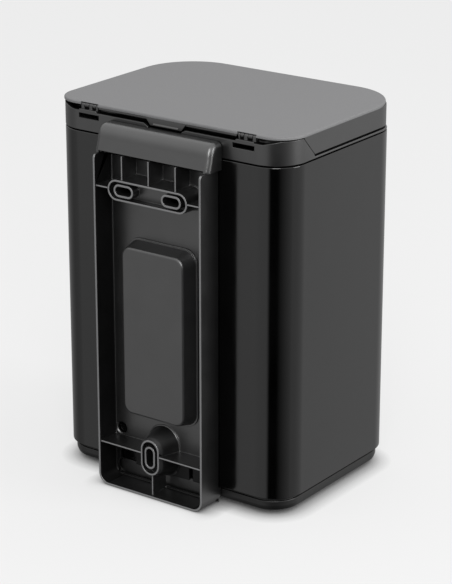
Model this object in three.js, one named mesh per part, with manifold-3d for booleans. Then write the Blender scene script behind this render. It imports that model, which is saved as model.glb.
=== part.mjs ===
// A seven-litre kitchen waste bin that hangs on a wall bracket or stands on the floor.
// Units are millimetres, +Z is up, the bin's front faces -Y and the wall is at +Y.
// The shapes are drawn round the centre of the steel body, and the whole group is then moved
// so that the origin lies under the middle of the object's box, on the floor.
import * as THREE from "three";
import { mergeVertices } from "three/addons/utils/BufferGeometryUtils.js";
import Module from "manifold-3d";

const wasm = await Module();
wasm.setup();

// ---------------------------------------------------------------- driving dimensions
const GAP = 0.3; // kept between pieces that touch on the real object
// Heights near the top are given from the sleeve's top edge.
const EDGE = 286.6;
const BODY = { halfX: 113, halfY: 80.5, corner: 27, bottom: 15.5, top: EDGE, sheet: 1, hem: 4 };
const LID = {
  halfX: 113.8,
  front: -91.4,
  rear: 78,
  cornerFront: 48,
  cornerRear: 23,
  rimBottom: EDGE + 21.3,
  top: EDGE + 24.2,
};
const LID_SKIN = 0.8;
const LID_RIM_WALL = 1.2;
const HINGE = { y: 75.5, z: EDGE + 20.8, pin: 1.2, bore: 1.35, knuckle: 2.2 };
const COLLAR = {
  rimTop: EDGE + 2.8,
  rearTop: EDGE + 20.2,
  wall: 2.6,
  flangeInset: 9.5,
  plugBottom: EDGE - 15,
};
// The collar's sloping shoulder, beside the lid's skirt.
const STEP = { lowY: 41.7, lowZ: EDGE + 5.3, highY: 55.2, highZ: EDGE + 19.3 };
const SEAM = 1.1; // between shoulder and skirt
const BRACKET = {
  halfX: 52.2,
  corner: 9.5,
  wall: 1.8,
  rib: 1.3,
  toeFront: 78.2,
  plateFront: 81.4,
  plateBack: 83.4,
  wallPlane: 104.2,
  top: EDGE - 7.8,
};
const UPPER_BOSS = { z: 252.7, halfX: 38.6, halfZ: 8.4, face: 103.2, draft: 0.04 };
const LOWER_BOSS = { z: 34.7, halfX: 9, halfZ: 15, face: 103.5, draft: 0.3 };
const SLOT = { half: 7.8, radius: 3.4, tube: 1.8 };
const UPPER_SLOT_X = 23.1;
const RIB_X = [-26, 0, 26]; // the upright ribs above the upper boss
const SHELF_Z = 36.8;
const HOOD = {
  halfX: 55.2,
  root: 80.9,
  back: 98.8,
  skin: 2.2,
  rootPlate: 2.7,
  bottom: EDGE - 8.1,
  knee: EDGE - 6,
  shoulder: EDGE + 2.8,
  top: EDGE + 14,
};
const HOOK = { halfX: 50, y0: 88.2, y1: 90.4, ribY: 93, top: HOOD.top - 5, ribTop: HOOD.top - 12 };
// Openings through the bracket's plate beside the lower boss, and one below them.
const WINDOWS = { z0: 16, z1: 31, x: [[30, 45.7], [-45.7, -35.7], [-27.7, -24.3]] };
const FOOT_OPENING = { halfX: 48, z0: 3.2, z1: 14.2 };
const CENTRE_Y = (LID.front + BRACKET.wallPlane) / 2;
const QUARTER_SIDES = 8; // straight pieces in a quarter turn
const BEYOND = 1; // how far a cutter reaches past the face that it opens

// ---------------------------------------------------------------- materials
const plastic = new THREE.MeshStandardMaterial({ color: 0x2b2b2c, roughness: 0.55, metalness: 0 });
const matteSteel = new THREE.MeshStandardMaterial({ color: 0x3a3a3b, roughness: 0.5, metalness: 0.3 });
const glossSteel = new THREE.MeshStandardMaterial({ color: 0x161617, roughness: 0.22, metalness: 0.4 });
const rubber = new THREE.MeshStandardMaterial({ color: 0x111111, roughness: 0.9, metalness: 0 });
const zincSteel = new THREE.MeshStandardMaterial({ color: 0xb9bbbd, roughness: 0.35, metalness: 1 });
const bucketPlastic = new THREE.MeshStandardMaterial({ color: 0x1d1d1e, roughness: 0.6, metalness: 0 });

// ---------------------------------------------------------------- solids
function solid(geometry) {
  const bare = geometry.index ? geometry.toNonIndexed() : geometry.clone();
  bare.deleteAttribute("normal");
  bare.deleteAttribute("uv");
  const merged = mergeVertices(bare, 1e-4);
  return new wasm.Manifold(
    new wasm.Mesh({
      numProp: 3,
      vertProperties: merged.attributes.position.array,
      triVerts: new Uint32Array(merged.index.array),
    }),
  );
}

function mesh(name, shape, material) {
  const data = shape.getMesh();
  const geometry = new THREE.BufferGeometry();
  geometry.setAttribute("position", new THREE.BufferAttribute(data.vertProperties, 3));
  geometry.setIndex(new THREE.BufferAttribute(data.triVerts, 1));
  geometry.computeVertexNormals();
  const made = new THREE.Mesh(geometry, material);
  made.name = name;
  return made;
}

const join = (first, ...rest) => rest.reduce((sum, piece) => sum.add(piece), first);
const cut = (first, ...rest) => rest.reduce((left, piece) => left.subtract(piece), first);

// A shape's own x, y and depth become the three axes given.
const ALONG = {
  x: new THREE.Matrix4().makeBasis(
    new THREE.Vector3(0, 1, 0),
    new THREE.Vector3(0, 0, 1),
    new THREE.Vector3(1, 0, 0),
  ),
  y: new THREE.Matrix4().makeBasis(
    new THREE.Vector3(1, 0, 0),
    new THREE.Vector3(0, 0, 1),
    new THREE.Vector3(0, -1, 0),
  ),
  z: new THREE.Matrix4(),
};

// Extrudes a shape along an axis, from low to high. grow widens it towards the low end of a
// Y extrusion (the side of the bin) or the high end of a Z one, and core is the shape's
// straight-sided middle, from which the widening points away.
function extrude(shape, axis, low, high, { grow = 0, core = [0, 0] } = {}) {
  const geometry = new THREE.ExtrudeGeometry(shape, {
    depth: high - low,
    bevelEnabled: false,
    curveSegments: QUARTER_SIDES / 2, // an arc is cut into twice as many
  });
  if (grow) {
    const at = geometry.attributes.position;
    for (let i = 0; i < at.count; i++) {
      const nearX = THREE.MathUtils.clamp(at.getX(i), -core[0], core[0]);
      const nearY = THREE.MathUtils.clamp(at.getY(i), -core[1], core[1]);
      const dx = at.getX(i) - nearX;
      const dy = at.getY(i) - nearY;
      const reach = Math.hypot(dx, dy);
      const scale = (reach + grow * at.getZ(i)) / reach;
      at.setXY(i, nearX + dx * scale, nearY + dy * scale);
    }
  }
  geometry.applyMatrix4(ALONG[axis]);
  const start = axis === "y" ? high : low;
  const shift = { x: [start, 0, 0], y: [0, start, 0], z: [0, 0, start] }[axis];
  return solid(geometry.translate(...shift));
}

function box(x0, x1, y0, y1, z0, z1) {
  const geometry = new THREE.BoxGeometry(x1 - x0, y1 - y0, z1 - z0);
  return solid(geometry.translate((x0 + x1) / 2, (y0 + y1) / 2, (z0 + z1) / 2));
}

function rod(axis, radius, low, high, [a, b], sides = 24) {
  const outline = new THREE.Shape();
  outline.absarc(0, 0, radius, 0, 2 * Math.PI);
  const geometry = new THREE.ExtrudeGeometry(outline, {
    depth: high - low,
    bevelEnabled: false,
    curveSegments: sides / 2,
  });
  geometry.applyMatrix4(ALONG[axis]);
  const shift = { x: [low, a, b], y: [a, high, b], z: [a, b, low] }[axis];
  return solid(geometry.translate(...shift));
}

function polygon(points) {
  return new THREE.Shape(points.map(([x, y]) => new THREE.Vector2(x, y)));
}

// A rectangle whose low-y corners and high-y corners may have different radii.
function roundedRect(x0, x1, y0, y1, lowRadius, highRadius = lowRadius) {
  const shape = new THREE.Shape();
  const quarter = Math.PI / 2;
  const corner = (x, y, radius, start) => {
    if (radius > 0) shape.absarc(x, y, radius, start, start + quarter);
    else shape.lineTo(x, y);
  };
  shape.moveTo(x0 + lowRadius, y0);
  corner(x1 - lowRadius, y0 + lowRadius, lowRadius, -quarter);
  corner(x1 - highRadius, y1 - highRadius, highRadius, 0);
  corner(x0 + highRadius, y1 - highRadius, highRadius, quarter);
  corner(x0 + lowRadius, y0 + lowRadius, lowRadius, 2 * quarter);
  return shape;
}

const centredRect = (halfX, halfY, radius) => roundedRect(-halfX, halfX, -halfY, halfY, radius);

// The body's outline, moved inwards.
const bodyOutline = (inset) =>
  centredRect(BODY.halfX - inset, BODY.halfY - inset, BODY.corner - inset);

const lidOutline = (inset) =>
  roundedRect(
    -LID.halfX + inset,
    LID.halfX - inset,
    LID.front + inset,
    LID.rear - inset,
    LID.cornerFront - inset,
    LID.cornerRear - inset,
  );

// A band that follows an outline, between two insets.
const band = (outline, outer, inner, z0, z1) =>
  cut(extrude(outline(outer), "z", z0, z1), extrude(outline(inner), "z", z0 - BEYOND, z1 + BEYOND));

const bothSides = (make) => [-1, 1].map(make);
const sideName = (side) => (side < 0 ? "right" : "left");

// ---------------------------------------------------------------- steel body
function bodyShell() {
  const sleeve = band(bodyOutline, 0, BODY.hem, BODY.bottom, BODY.top);
  const hollow = extrude(bodyOutline(BODY.sheet), "z", BODY.bottom + BODY.sheet, BODY.top - BODY.sheet);
  return mesh("body_shell", cut(sleeve, hollow), glossSteel);
}

// ---------------------------------------------------------------- base and feet
const BASE = {
  bottom: 4,
  chamfer: 7.2,
  top: 12.6,
  inset: 3,
  lowInset: 4.5,
  plugTop: 27,
  plugWall: 2,
  floor: 2.5,
};
const FOOT = { radius: 7, x: 82, y: 50 };
const STIFFENER = { x: [-60, -20, 20, 60], half: 0.8, inset: 6, top: 12 };

function baseTray() {
  const plugInset = BODY.hem + 0.5;
  const outside = join(
    extrude(bodyOutline(BASE.inset), "z", BASE.chamfer, BASE.top),
    extrude(bodyOutline(BASE.lowInset), "z", BASE.bottom, BASE.chamfer + 0.1),
    extrude(bodyOutline(plugInset), "z", BASE.top - 0.5, BASE.plugTop),
  );
  const hollow = extrude(
    bodyOutline(plugInset + BASE.plugWall),
    "z",
    BASE.bottom + BASE.floor,
    BASE.plugTop + BEYOND,
  );
  const { half, inset, top } = STIFFENER;
  const reach = BODY.halfY - inset;
  const stiffeners = STIFFENER.x.map((x) =>
    box(x - half, x + half, -reach, reach, BASE.bottom + BASE.floor - 0.2, top),
  );
  return mesh("base_tray", join(cut(outside, hollow), ...stiffeners), plastic);
}

function feet() {
  return bothSides((side) =>
    [
      ["front", -1],
      ["rear", 1],
    ].map(([end, sign]) =>
      mesh(
        `foot_${end}_${sideName(side)}`,
        rod("z", FOOT.radius, 0, BASE.bottom - GAP, [side * FOOT.x, sign * FOOT.y], 20),
        rubber,
      ),
    ),
  ).flat();
}

// ---------------------------------------------------------------- collar with the hinge ears
const EARS = [
  [67.6, 69.6],
  [73.3, 76.5],
  [81.3, 84.4],
];
const HINGE_BLOCK = { x0: 67.6, x1: 84.4, y0: 73.4, z0: EDGE + 15.3, z1: EDGE + 18.2 };
const HINGE_SLOT = { x0: 64.8, x1: 84.6, z0: EDGE + 11.3, z1: EDGE + 15 };
const LIP_TOP = EDGE + 16.8;
const TONGUE = {
  halfTop: 19.6,
  halfBottom: 15,
  top: EDGE + 21,
  bottom: EDGE + 15.1,
  y0: 74.6,
  y1: 78.6,
};
const HOOK_SCREW = { x: 40, z: EDGE + 8.2, head: 3.2, shank: 1.6, bore: 1.9 };

function collar() {
  const plug = band(bodyOutline, BODY.hem + 0.5, BODY.hem + 2.5, COLLAR.plugBottom, BODY.top + GAP);
  const rim = band(bodyOutline, 0, COLLAR.flangeInset, BODY.top + GAP, COLLAR.rimTop);
  const raised = band(bodyOutline, 0, COLLAR.wall, COLLAR.rimTop - 0.2, COLLAR.rearTop);
  const shoulder = extrude(
    polygon([
      [STEP.lowY - 3, COLLAR.rimTop - 3],
      [STEP.lowY, STEP.lowZ],
      [STEP.highY, STEP.highZ],
      [STEP.highY + 0.9, COLLAR.rearTop + BEYOND],
      [BODY.halfY + BEYOND, COLLAR.rearTop + BEYOND],
      [BODY.halfY + BEYOND, COLLAR.rimTop - 3],
    ]),
    "x",
    -BODY.halfX - BEYOND,
    BODY.halfX + BEYOND,
  );
  let shape = join(plug, rim, raised.intersect(shoulder));

  // The lid's rear rim and its tongue dip below the top of the wall as the lid opens.
  const top = COLLAR.rearTop + BEYOND;
  const half = [
    [0, LIP_TOP - 3.2],
    [16, LIP_TOP - 3.2],
    [16.6, LIP_TOP - 2],
    [20.2, LIP_TOP],
    [67.2, LIP_TOP],
    [67.2, LIP_TOP + 1],
    [84.4, LIP_TOP + 1],
    [84.4, LIP_TOP + 0.4],
    [92, LIP_TOP + 0.4],
    [106, COLLAR.rearTop + 0.2],
    [106, top],
  ];
  const mirrored = half.slice(1).map(([x, z]) => [-x, z]);
  const dip = polygon([...mirrored.reverse(), ...half]);
  shape = cut(shape, extrude(dip, "y", 72, BODY.halfY + BEYOND));
  for (const side of [-1, 1]) {
    const span = (a, b) => (side < 0 ? [-b, -a] : [a, b]);
    const { x0, x1, y0, z0, z1 } = HINGE_BLOCK;
    shape = join(shape, box(...span(x0, x1), y0, BODY.halfY, z0 - 0.2, z1));
    for (const [a, b] of EARS) {
      const ear = new THREE.Shape();
      ear.moveTo(HINGE.y - HINGE.knuckle, z1 - 0.5);
      ear.lineTo(HINGE.y + HINGE.knuckle, z1 - 0.5);
      ear.absarc(HINGE.y, HINGE.z, HINGE.knuckle, 0, Math.PI);
      shape = join(shape, extrude(ear, "x", ...span(a, b)));
    }
    const bore = rod("x", HINGE.bore, ...span(x0 - BEYOND, x1 - 1), [HINGE.y, HINGE.z], 8);
    const slot = box(...span(HINGE_SLOT.x0, HINGE_SLOT.x1), 76, 82, HINGE_SLOT.z0, HINGE_SLOT.z1);
    const screwHole = rod("y", HOOK_SCREW.bore, 76, 82, [side * HOOK_SCREW.x, HOOK_SCREW.z], 8);
    shape = cut(shape, bore, slot, screwHole);
  }
  return mesh("collar", shape, plastic);
}

function hingePins() {
  return bothSides((side) => {
    const [a, b] = [HINGE_BLOCK.x0 + 0.2, HINGE_BLOCK.x1 - 1.4];
    const span = side < 0 ? [-b, -a] : [a, b];
    return mesh(
      `hinge_pin_${sideName(side)}`,
      rod("x", HINGE.pin, ...span, [HINGE.y, HINGE.z], 8),
      zincSteel,
    );
  });
}

// ---------------------------------------------------------------- lid
const KNUCKLES = [
  [69.9, 73],
  [76.8, 81],
];
const DECK = { z0: EDGE + 20.9, z1: EDGE + 23, inset: 1.5 };
const SKIRT = { outer: 0.8, inner: 3.2, bottom: EDGE + 4.4 };
const REAR_RAIL = { halfX: 66.8, y0: 75.9, y1: 77.9, bottom: LIP_TOP + 3.2 };
const LID_SCREW = { x: 78, y: 44, head: 3, shank: 1.4, post: 3.6 };
const LINER = { inset: 4.2, wall: 1.8, bottom: EDGE + 13.7, top: EDGE + 20.6, rear: 69.5 };
const BUMPER = {
  x: 58,
  inset: 5.2,
  radius: 1.8,
  bottom: COLLAR.rimTop + GAP,
  top: COLLAR.rimTop + 3.9,
};
const BUMPER_Y = -BODY.halfY + BUMPER.inset;
const HINGE_NOTCH = { x0: 67.2, x1: 84.8 };

function lidPlate() {
  const skin = extrude(lidOutline(0), "z", LID.top - LID_SKIN, LID.top);
  const rim = band(lidOutline, 0, LID_RIM_WALL, LID.rimBottom, LID.top - LID_SKIN + 0.1);
  const { x0, x1 } = HINGE_NOTCH;
  const notches = bothSides((side) => {
    const span = side < 0 ? [-x1, -x0] : [x0, x1];
    return [
      box(...span, 75, LID.rear + BEYOND, LID.rimBottom - BEYOND, LID.top - LID_SKIN),
      box(...span, 77.1, LID.rear + BEYOND, LID.rimBottom - BEYOND, LID.top + BEYOND),
    ];
  }).flat();
  return mesh("lid_plate", cut(join(skin, rim), ...notches), matteSteel);
}

function lidFrame() {
  const deckOutline = lidOutline(DECK.inset);
  const deck = extrude(deckOutline, "z", DECK.z0, DECK.z1);
  const skirtRing = band(bodyOutline, SKIRT.outer, SKIRT.inner, SKIRT.bottom, DECK.z0 + 0.2);
  const skirtSide = extrude(
    polygon([
      [-BODY.halfY - BEYOND, SKIRT.bottom - BEYOND],
      [STEP.lowY - SEAM - 1.4, SKIRT.bottom - BEYOND],
      [STEP.lowY - SEAM, STEP.lowZ],
      [STEP.highY - SEAM, STEP.highZ],
      [STEP.highY - SEAM, DECK.z1],
      [-BODY.halfY - BEYOND, DECK.z1],
    ]),
    "x",
    -BODY.halfX - BEYOND,
    BODY.halfX + BEYOND,
  );
  const { halfTop, halfBottom, top, bottom, y0, y1 } = TONGUE;
  const tongue = extrude(
    polygon([
      [-halfBottom, bottom],
      [halfBottom, bottom],
      [halfTop, top],
      [-halfTop, top],
    ]),
    "y",
    y0,
    y1,
  );
  // A rail closes the back between the hinges, just above the collar's lip.
  const rail = box(
    -REAR_RAIL.halfX,
    REAR_RAIL.halfX,
    REAR_RAIL.y0,
    REAR_RAIL.y1,
    REAR_RAIL.bottom,
    DECK.z0 + 0.1,
  );
  let shape = join(deck, skirtRing.intersect(skirtSide), tongue, rail);
  const { x0, x1 } = HINGE_NOTCH;
  for (const side of [-1, 1]) {
    const span = (a, b) => (side < 0 ? [-b, -a] : [a, b]);
    shape = cut(shape, box(...span(x0, x1), 72.9, LID.rear, DECK.z0 - BEYOND, DECK.z1 + BEYOND));
    for (const [a, b] of KNUCKLES) {
      const eye = rod("x", HINGE.knuckle, ...span(a, b), [HINGE.y, HINGE.z], 8);
      const arm = box(...span(a, b), 70, HINGE.y, HINGE.z, DECK.z1);
      shape = join(shape, eye, arm);
    }
    shape = cut(shape, rod("x", HINGE.bore, ...span(x0, x1), [HINGE.y, HINGE.z], 8));
    const aboveBumper = [side * BUMPER.x, BUMPER_Y];
    shape = join(shape, rod("z", BUMPER.radius, BUMPER.top + GAP, DECK.z0 + 0.1, aboveBumper, 8));
    for (const y of [-LID_SCREW.y, LID_SCREW.y]) {
      const at = [side * LID_SCREW.x, y];
      const post = rod("z", LID_SCREW.post, LINER.bottom + LINER.wall + GAP, DECK.z0 + 0.1, at, 12);
      const hole = rod("z", LID_SCREW.shank + GAP, LINER.bottom, DECK.z0 + 0.6, at, 8);
      shape = cut(join(shape, post), hole);
    }
  }
  return mesh("lid_frame", shape, plastic);
}

function lidLiner() {
  const outline = (inset) => {
    const spread = LINER.inset + inset;
    return roundedRect(
      -BODY.halfX + spread,
      BODY.halfX - spread,
      -BODY.halfY + spread + 4,
      LINER.rear - inset,
      BODY.corner - spread,
      BODY.corner - spread - 6,
    );
  };
  let shape = cut(
    extrude(outline(0), "z", LINER.bottom, LINER.top),
    extrude(outline(LINER.wall), "z", LINER.bottom + LINER.wall, LINER.top + BEYOND),
  );
  const [low, high] = [LINER.bottom - BEYOND, LINER.bottom + 3];
  for (const x of [-LID_SCREW.x, LID_SCREW.x])
    for (const y of [-LID_SCREW.y, LID_SCREW.y])
      shape = cut(shape, rod("z", LID_SCREW.shank + GAP, low, high, [x, y], 8));
  return mesh("lid_liner", shape, plastic);
}

function lidScrews() {
  return bothSides((side) =>
    [
      ["front", -1],
      ["rear", 1],
    ].map(([end, sign]) => {
      const at = [side * LID_SCREW.x, sign * LID_SCREW.y];
      const head = rod("z", LID_SCREW.head, LINER.bottom - 2, LINER.bottom - GAP, at, 12);
      const shank = rod("z", LID_SCREW.shank, LINER.bottom - 0.5, LINER.top, at, 8);
      return mesh(`lid_screw_${end}_${sideName(side)}`, join(head, shank), zincSteel);
    }),
  ).flat();
}

function lidBumpers() {
  return bothSides((side) =>
    mesh(
      `lid_bumper_${sideName(side)}`,
      rod("z", BUMPER.radius, BUMPER.bottom, BUMPER.top, [side * BUMPER.x, BUMPER_Y], 8),
      rubber,
    ),
  );
}

// ---------------------------------------------------------------- inner bucket
const BUCKET = {
  inset: 10.5,
  corner: 10,
  rim: 3,
  bottom: 29,
  rimBottom: EDGE + 3.4,
  top: EDGE + 5.2,
  wall: 1.8,
  floor: 2,
  taper: 6,
};
const GRIP_HOLE = { half: 32, radius: 9, z: EDGE - 23 };

function innerBucket() {
  const lean = BUCKET.taper / (BUCKET.top - BUCKET.bottom);
  const tub = (inset, z0, z1, slack) => {
    const spread = BUCKET.inset + inset + BUCKET.taper - lean * slack;
    const radius = BUCKET.corner - inset;
    const half = [BODY.halfX - spread, BODY.halfY - spread];
    return extrude(centredRect(...half, radius), "z", z0, z1, {
      grow: lean,
      core: [half[0] - radius, half[1] - radius],
    });
  };
  const rimOutline = (inset) => {
    const spread = BUCKET.inset - BUCKET.rim + inset;
    return centredRect(BODY.halfX - spread, BODY.halfY - spread, BUCKET.corner + BUCKET.rim - inset);
  };
  const rim = band(rimOutline, 0, BUCKET.rim + 0.5, BUCKET.rimBottom, BUCKET.top);
  const inside = tub(BUCKET.wall, BUCKET.bottom + BUCKET.floor, BUCKET.top + BEYOND, BUCKET.floor);
  const shape = cut(join(tub(0, BUCKET.bottom, BUCKET.top, 0), rim), inside);
  const grip = centredRect(GRIP_HOLE.half, GRIP_HOLE.radius, GRIP_HOLE.radius);
  const hole = extrude(grip, "x", -BODY.halfX, BODY.halfX).translate([0, 0, GRIP_HOLE.z]);
  return mesh("inner_bucket", cut(shape, hole), bucketPlastic);
}

// ---------------------------------------------------------------- hanging hood on the bin
function hookHood() {
  // The back slopes out from the collar and ends in a straight lower edge.
  const outline = (skin, rootY, bottom) => {
    const shape = new THREE.Shape();
    const back = HOOD.back - skin;
    const top = HOOD.top - skin;
    shape.moveTo(rootY, bottom);
    shape.lineTo(back, bottom);
    shape.lineTo(back, HOOD.knee);
    shape.lineTo(back - 2.4, HOOD.shoulder - skin / 2);
    shape.quadraticCurveTo(back - 4.2, top, back - 12.4 + skin / 2, top);
    shape.lineTo(rootY, top);
    return shape;
  };
  const outside = extrude(outline(0, HOOD.root, HOOD.bottom), "x", -HOOD.halfX, HOOD.halfX);
  const inner = HOOD.halfX - HOOD.skin;
  const low = HOOD.bottom - BEYOND;
  const inside = extrude(outline(HOOD.skin, HOOD.root + HOOD.rootPlate, low), "x", -inner, inner);
  // The back wall's lower edge stands higher than the end walls' lower edge.
  const relief = box(-inner, inner, 92, HOOD.back + BEYOND, low, HOOD.knee);
  const holes = bothSides((side) => {
    const at = [side * HOOK_SCREW.x, HOOK_SCREW.z];
    return rod("y", HOOK_SCREW.bore, HOOD.root - BEYOND, HOOD.root + 4, at, 8);
  });
  return mesh("hook_hood", cut(outside, inside, relief, ...holes), plastic);
}

function hookScrews() {
  const wallInside = BODY.halfY - COLLAR.wall;
  return bothSides((side) => {
    const at = [side * HOOK_SCREW.x, HOOK_SCREW.z];
    const head = rod("y", HOOK_SCREW.head, wallInside - 2.2, wallInside - GAP, at, 12);
    const shank = rod("y", HOOK_SCREW.shank, wallInside - 0.5, HOOD.root + 2.4, at, 8);
    return mesh(`hook_screw_${sideName(side)}`, join(head, shank), zincSteel);
  });
}

// ---------------------------------------------------------------- wall bracket
const stadium = (halfX, halfZ) => centredRect(halfX, halfZ, Math.min(halfX, halfZ));

// A boss's tapered outside, or its inside at an inset.
function bossBody({ z, halfX, halfZ, draft }, inset, low, high) {
  const round = Math.min(halfX, halfZ);
  const core = [halfX - round, halfZ - round];
  const outline = stadium(halfX - inset, halfZ - inset);
  return extrude(outline, "y", low, high, { grow: draft, core }).translate([0, 0, z]);
}

// A hollow boss with a floor near the wall and slotted screw tubes standing on that floor.
function boss(spec, slots) {
  const { z, face, draft } = spec;
  const wall = 1.6;
  const floor = [93.4, 95];
  const front = BRACKET.plateFront;
  let shape = cut(
    bossBody(spec, 0, front, face),
    bossBody(spec, wall, floor[1], face + BEYOND),
    bossBody(spec, wall - draft * 8, front - BEYOND, floor[0]),
  );
  for (const { x, upright } of slots) {
    const sizes = (extra) => [SLOT.half + extra, SLOT.radius + extra];
    const outline = (extra) => (upright ? stadium(...sizes(extra).reverse()) : stadium(...sizes(extra)));
    const tube = extrude(outline(SLOT.tube), "y", floor[1] - 0.1, face).translate([x, 0, z]);
    const hole = extrude(outline(0), "y", front - BEYOND, face + BEYOND).translate([x, 0, z]);
    shape = cut(join(shape, tube), hole);
  }
  return shape;
}

function wallBracket() {
  const { halfX, corner, wall, rib, toeFront, plateFront, plateBack, wallPlane, top } = BRACKET;
  const channel = (inset) =>
    roundedRect(-halfX + inset, halfX - inset, inset, top + (inset ? 5 : 0), corner - inset, 0);
  const through = (x0, x1, z0, z1) => box(x0, x1, plateFront - BEYOND, plateBack + BEYOND, z0, z1);
  const plate = cut(
    extrude(channel(0), "y", plateFront, plateBack),
    through(-FOOT_OPENING.halfX, FOOT_OPENING.halfX, FOOT_OPENING.z0, FOOT_OPENING.z1),
  );
  const walls = cut(
    extrude(channel(0), "y", plateFront, wallPlane),
    extrude(channel(wall), "y", plateFront - BEYOND, wallPlane + BEYOND),
  );
  // Below the steel body the channel reaches forward to the base.
  const toe = box(-halfX - BEYOND, halfX + BEYOND, 78, 82, -BEYOND, BODY.bottom - 1.2);
  const toeWalls = cut(
    extrude(channel(0), "y", toeFront, plateFront + 0.1),
    extrude(channel(wall), "y", toeFront - BEYOND, plateFront + BEYOND),
  ).intersect(toe);

  // Ribs and shelves between the walls, drawn as plates standing on the base plate.
  const inner = halfX - wall + 0.2;
  const low = plateBack - 0.2;
  const capTop = top - 1.2;
  const capWeb = box(-inner, inner, low, HOOK.y1, capTop - 2.4, capTop);
  const shelf = box(-inner, inner, low, 103, SHELF_Z - rib / 2, SHELF_Z + rib / 2);
  const sideWeb = box(-inner, inner, low, 102.8, UPPER_BOSS.z - 0.2, UPPER_BOSS.z - 0.2 + rib);
  const upright = (x, y0, y1, z0, z1) => box(x - rib / 2, x + rib / 2, y0, y1, z0, z1);
  const uprights = RIB_X.map((x) => upright(x, low, 101.3, UPPER_BOSS.z + 6.5, capTop - 2));
  const keel = box(-rib / 2, rib / 2, low, 100.4, 1, LOWER_BOSS.z - 13);

  // The hook plate stands inside the hood and carries the bin.
  const hookRoot = capTop - 0.2;
  const hookPlate = box(-HOOK.halfX, HOOK.halfX, HOOK.y0, HOOK.y1, hookRoot, HOOK.top);
  const behindHook = HOOK.y1 - 0.2;
  const cheeks = [-HOOK.halfX, HOOK.halfX - 2.2].map((x) =>
    box(x, x + 2.2, behindHook, HOOK.ribY, hookRoot, HOOK.ribTop),
  );
  const hookRibs = RIB_X.map((x) => upright(x, behindHook, HOOK.ribY, hookRoot, HOOK.ribTop));

  // The plate and the ribs are cleared where the bosses go in.
  const bossRoom = (spec) => bossBody(spec, 0.8, plateFront - BEYOND, wallPlane + BEYOND);
  const windows = WINDOWS.x.map(([a, b]) => through(a, b, WINDOWS.z0, WINDOWS.z1));

  // The hood comes down over the top of the channel, so nothing but the hook stands there.
  const hoodRoom = box(-halfX - BEYOND, halfX + BEYOND, plateFront - BEYOND, 86.2, top - 0.7, top + BEYOND);
  let shape = join(plate, walls, toeWalls, capWeb, shelf, sideWeb, ...uprights, keel);
  shape = cut(shape, hoodRoom);
  shape = join(shape, hookPlate, ...cheeks, ...hookRibs);
  shape = cut(shape, bossRoom(UPPER_BOSS), bossRoom(LOWER_BOSS), ...windows);
  shape = join(
    shape,
    boss(UPPER_BOSS, [{ x: -UPPER_SLOT_X }, { x: UPPER_SLOT_X }]),
    boss(LOWER_BOSS, [{ x: 0, upright: true }]),
  );
  return mesh("wall_bracket", shape, plastic);
}

// ---------------------------------------------------------------- block in the middle of the bracket
const SPACER = {
  halfX: 29.8,
  halfZ: 70,
  z: 135.9,
  corner: 8,
  face: 98.1,
  draft: 0.24,
  skin: 2,
  flange: 1,
  flangeWidth: 1.2,
};

function bracketSpacer() {
  const foot = BRACKET.plateBack + GAP;
  const core = [SPACER.halfX - SPACER.corner, SPACER.halfZ - SPACER.corner];
  const block = (inset, low, high) =>
    extrude(
      centredRect(SPACER.halfX - inset, SPACER.halfZ - inset, SPACER.corner - inset),
      "y",
      low,
      high,
      { grow: SPACER.draft, core },
    );
  const wide = (SPACER.face - foot) * SPACER.draft + SPACER.flangeWidth;
  const flange = extrude(
    centredRect(SPACER.halfX + wide, SPACER.halfZ + wide, SPACER.corner + wide),
    "y",
    foot,
    foot + SPACER.flange,
  );
  const shape = cut(
    join(block(0, foot, SPACER.face), flange),
    block(SPACER.skin, foot - BEYOND, SPACER.face - SPACER.skin),
  );
  return mesh("bracket_spacer", shape.translate([0, 0, SPACER.z]), plastic);
}

// ---------------------------------------------------------------- assembly
const bracketGroup = new THREE.Group();
bracketGroup.add(wallBracket(), bracketSpacer());

const lidGroup = new THREE.Group();
lidGroup.add(lidPlate(), lidFrame(), lidLiner(), ...lidScrews(), ...lidBumpers());

const binGroup = new THREE.Group();
binGroup.add(bodyShell(), baseTray(), ...feet(), collar(), ...hingePins(), innerBucket());
binGroup.add(hookHood(), ...hookScrews());

const placed = new THREE.Group();
placed.position.set(0, -CENTRE_Y, 0);
placed.add(bracketGroup, binGroup, lidGroup);

const wasteBin = new THREE.Group();
wasteBin.add(placed);

export default wasteBin;
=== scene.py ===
"""The looks of a wall-mounted waste bin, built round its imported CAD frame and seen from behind.

Shapes are worked out in millimetres, with x and y from the middle of the steel sleeve and z from
the floor. They are turned into the frame's metres when a mesh is made.
"""
import math

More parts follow.
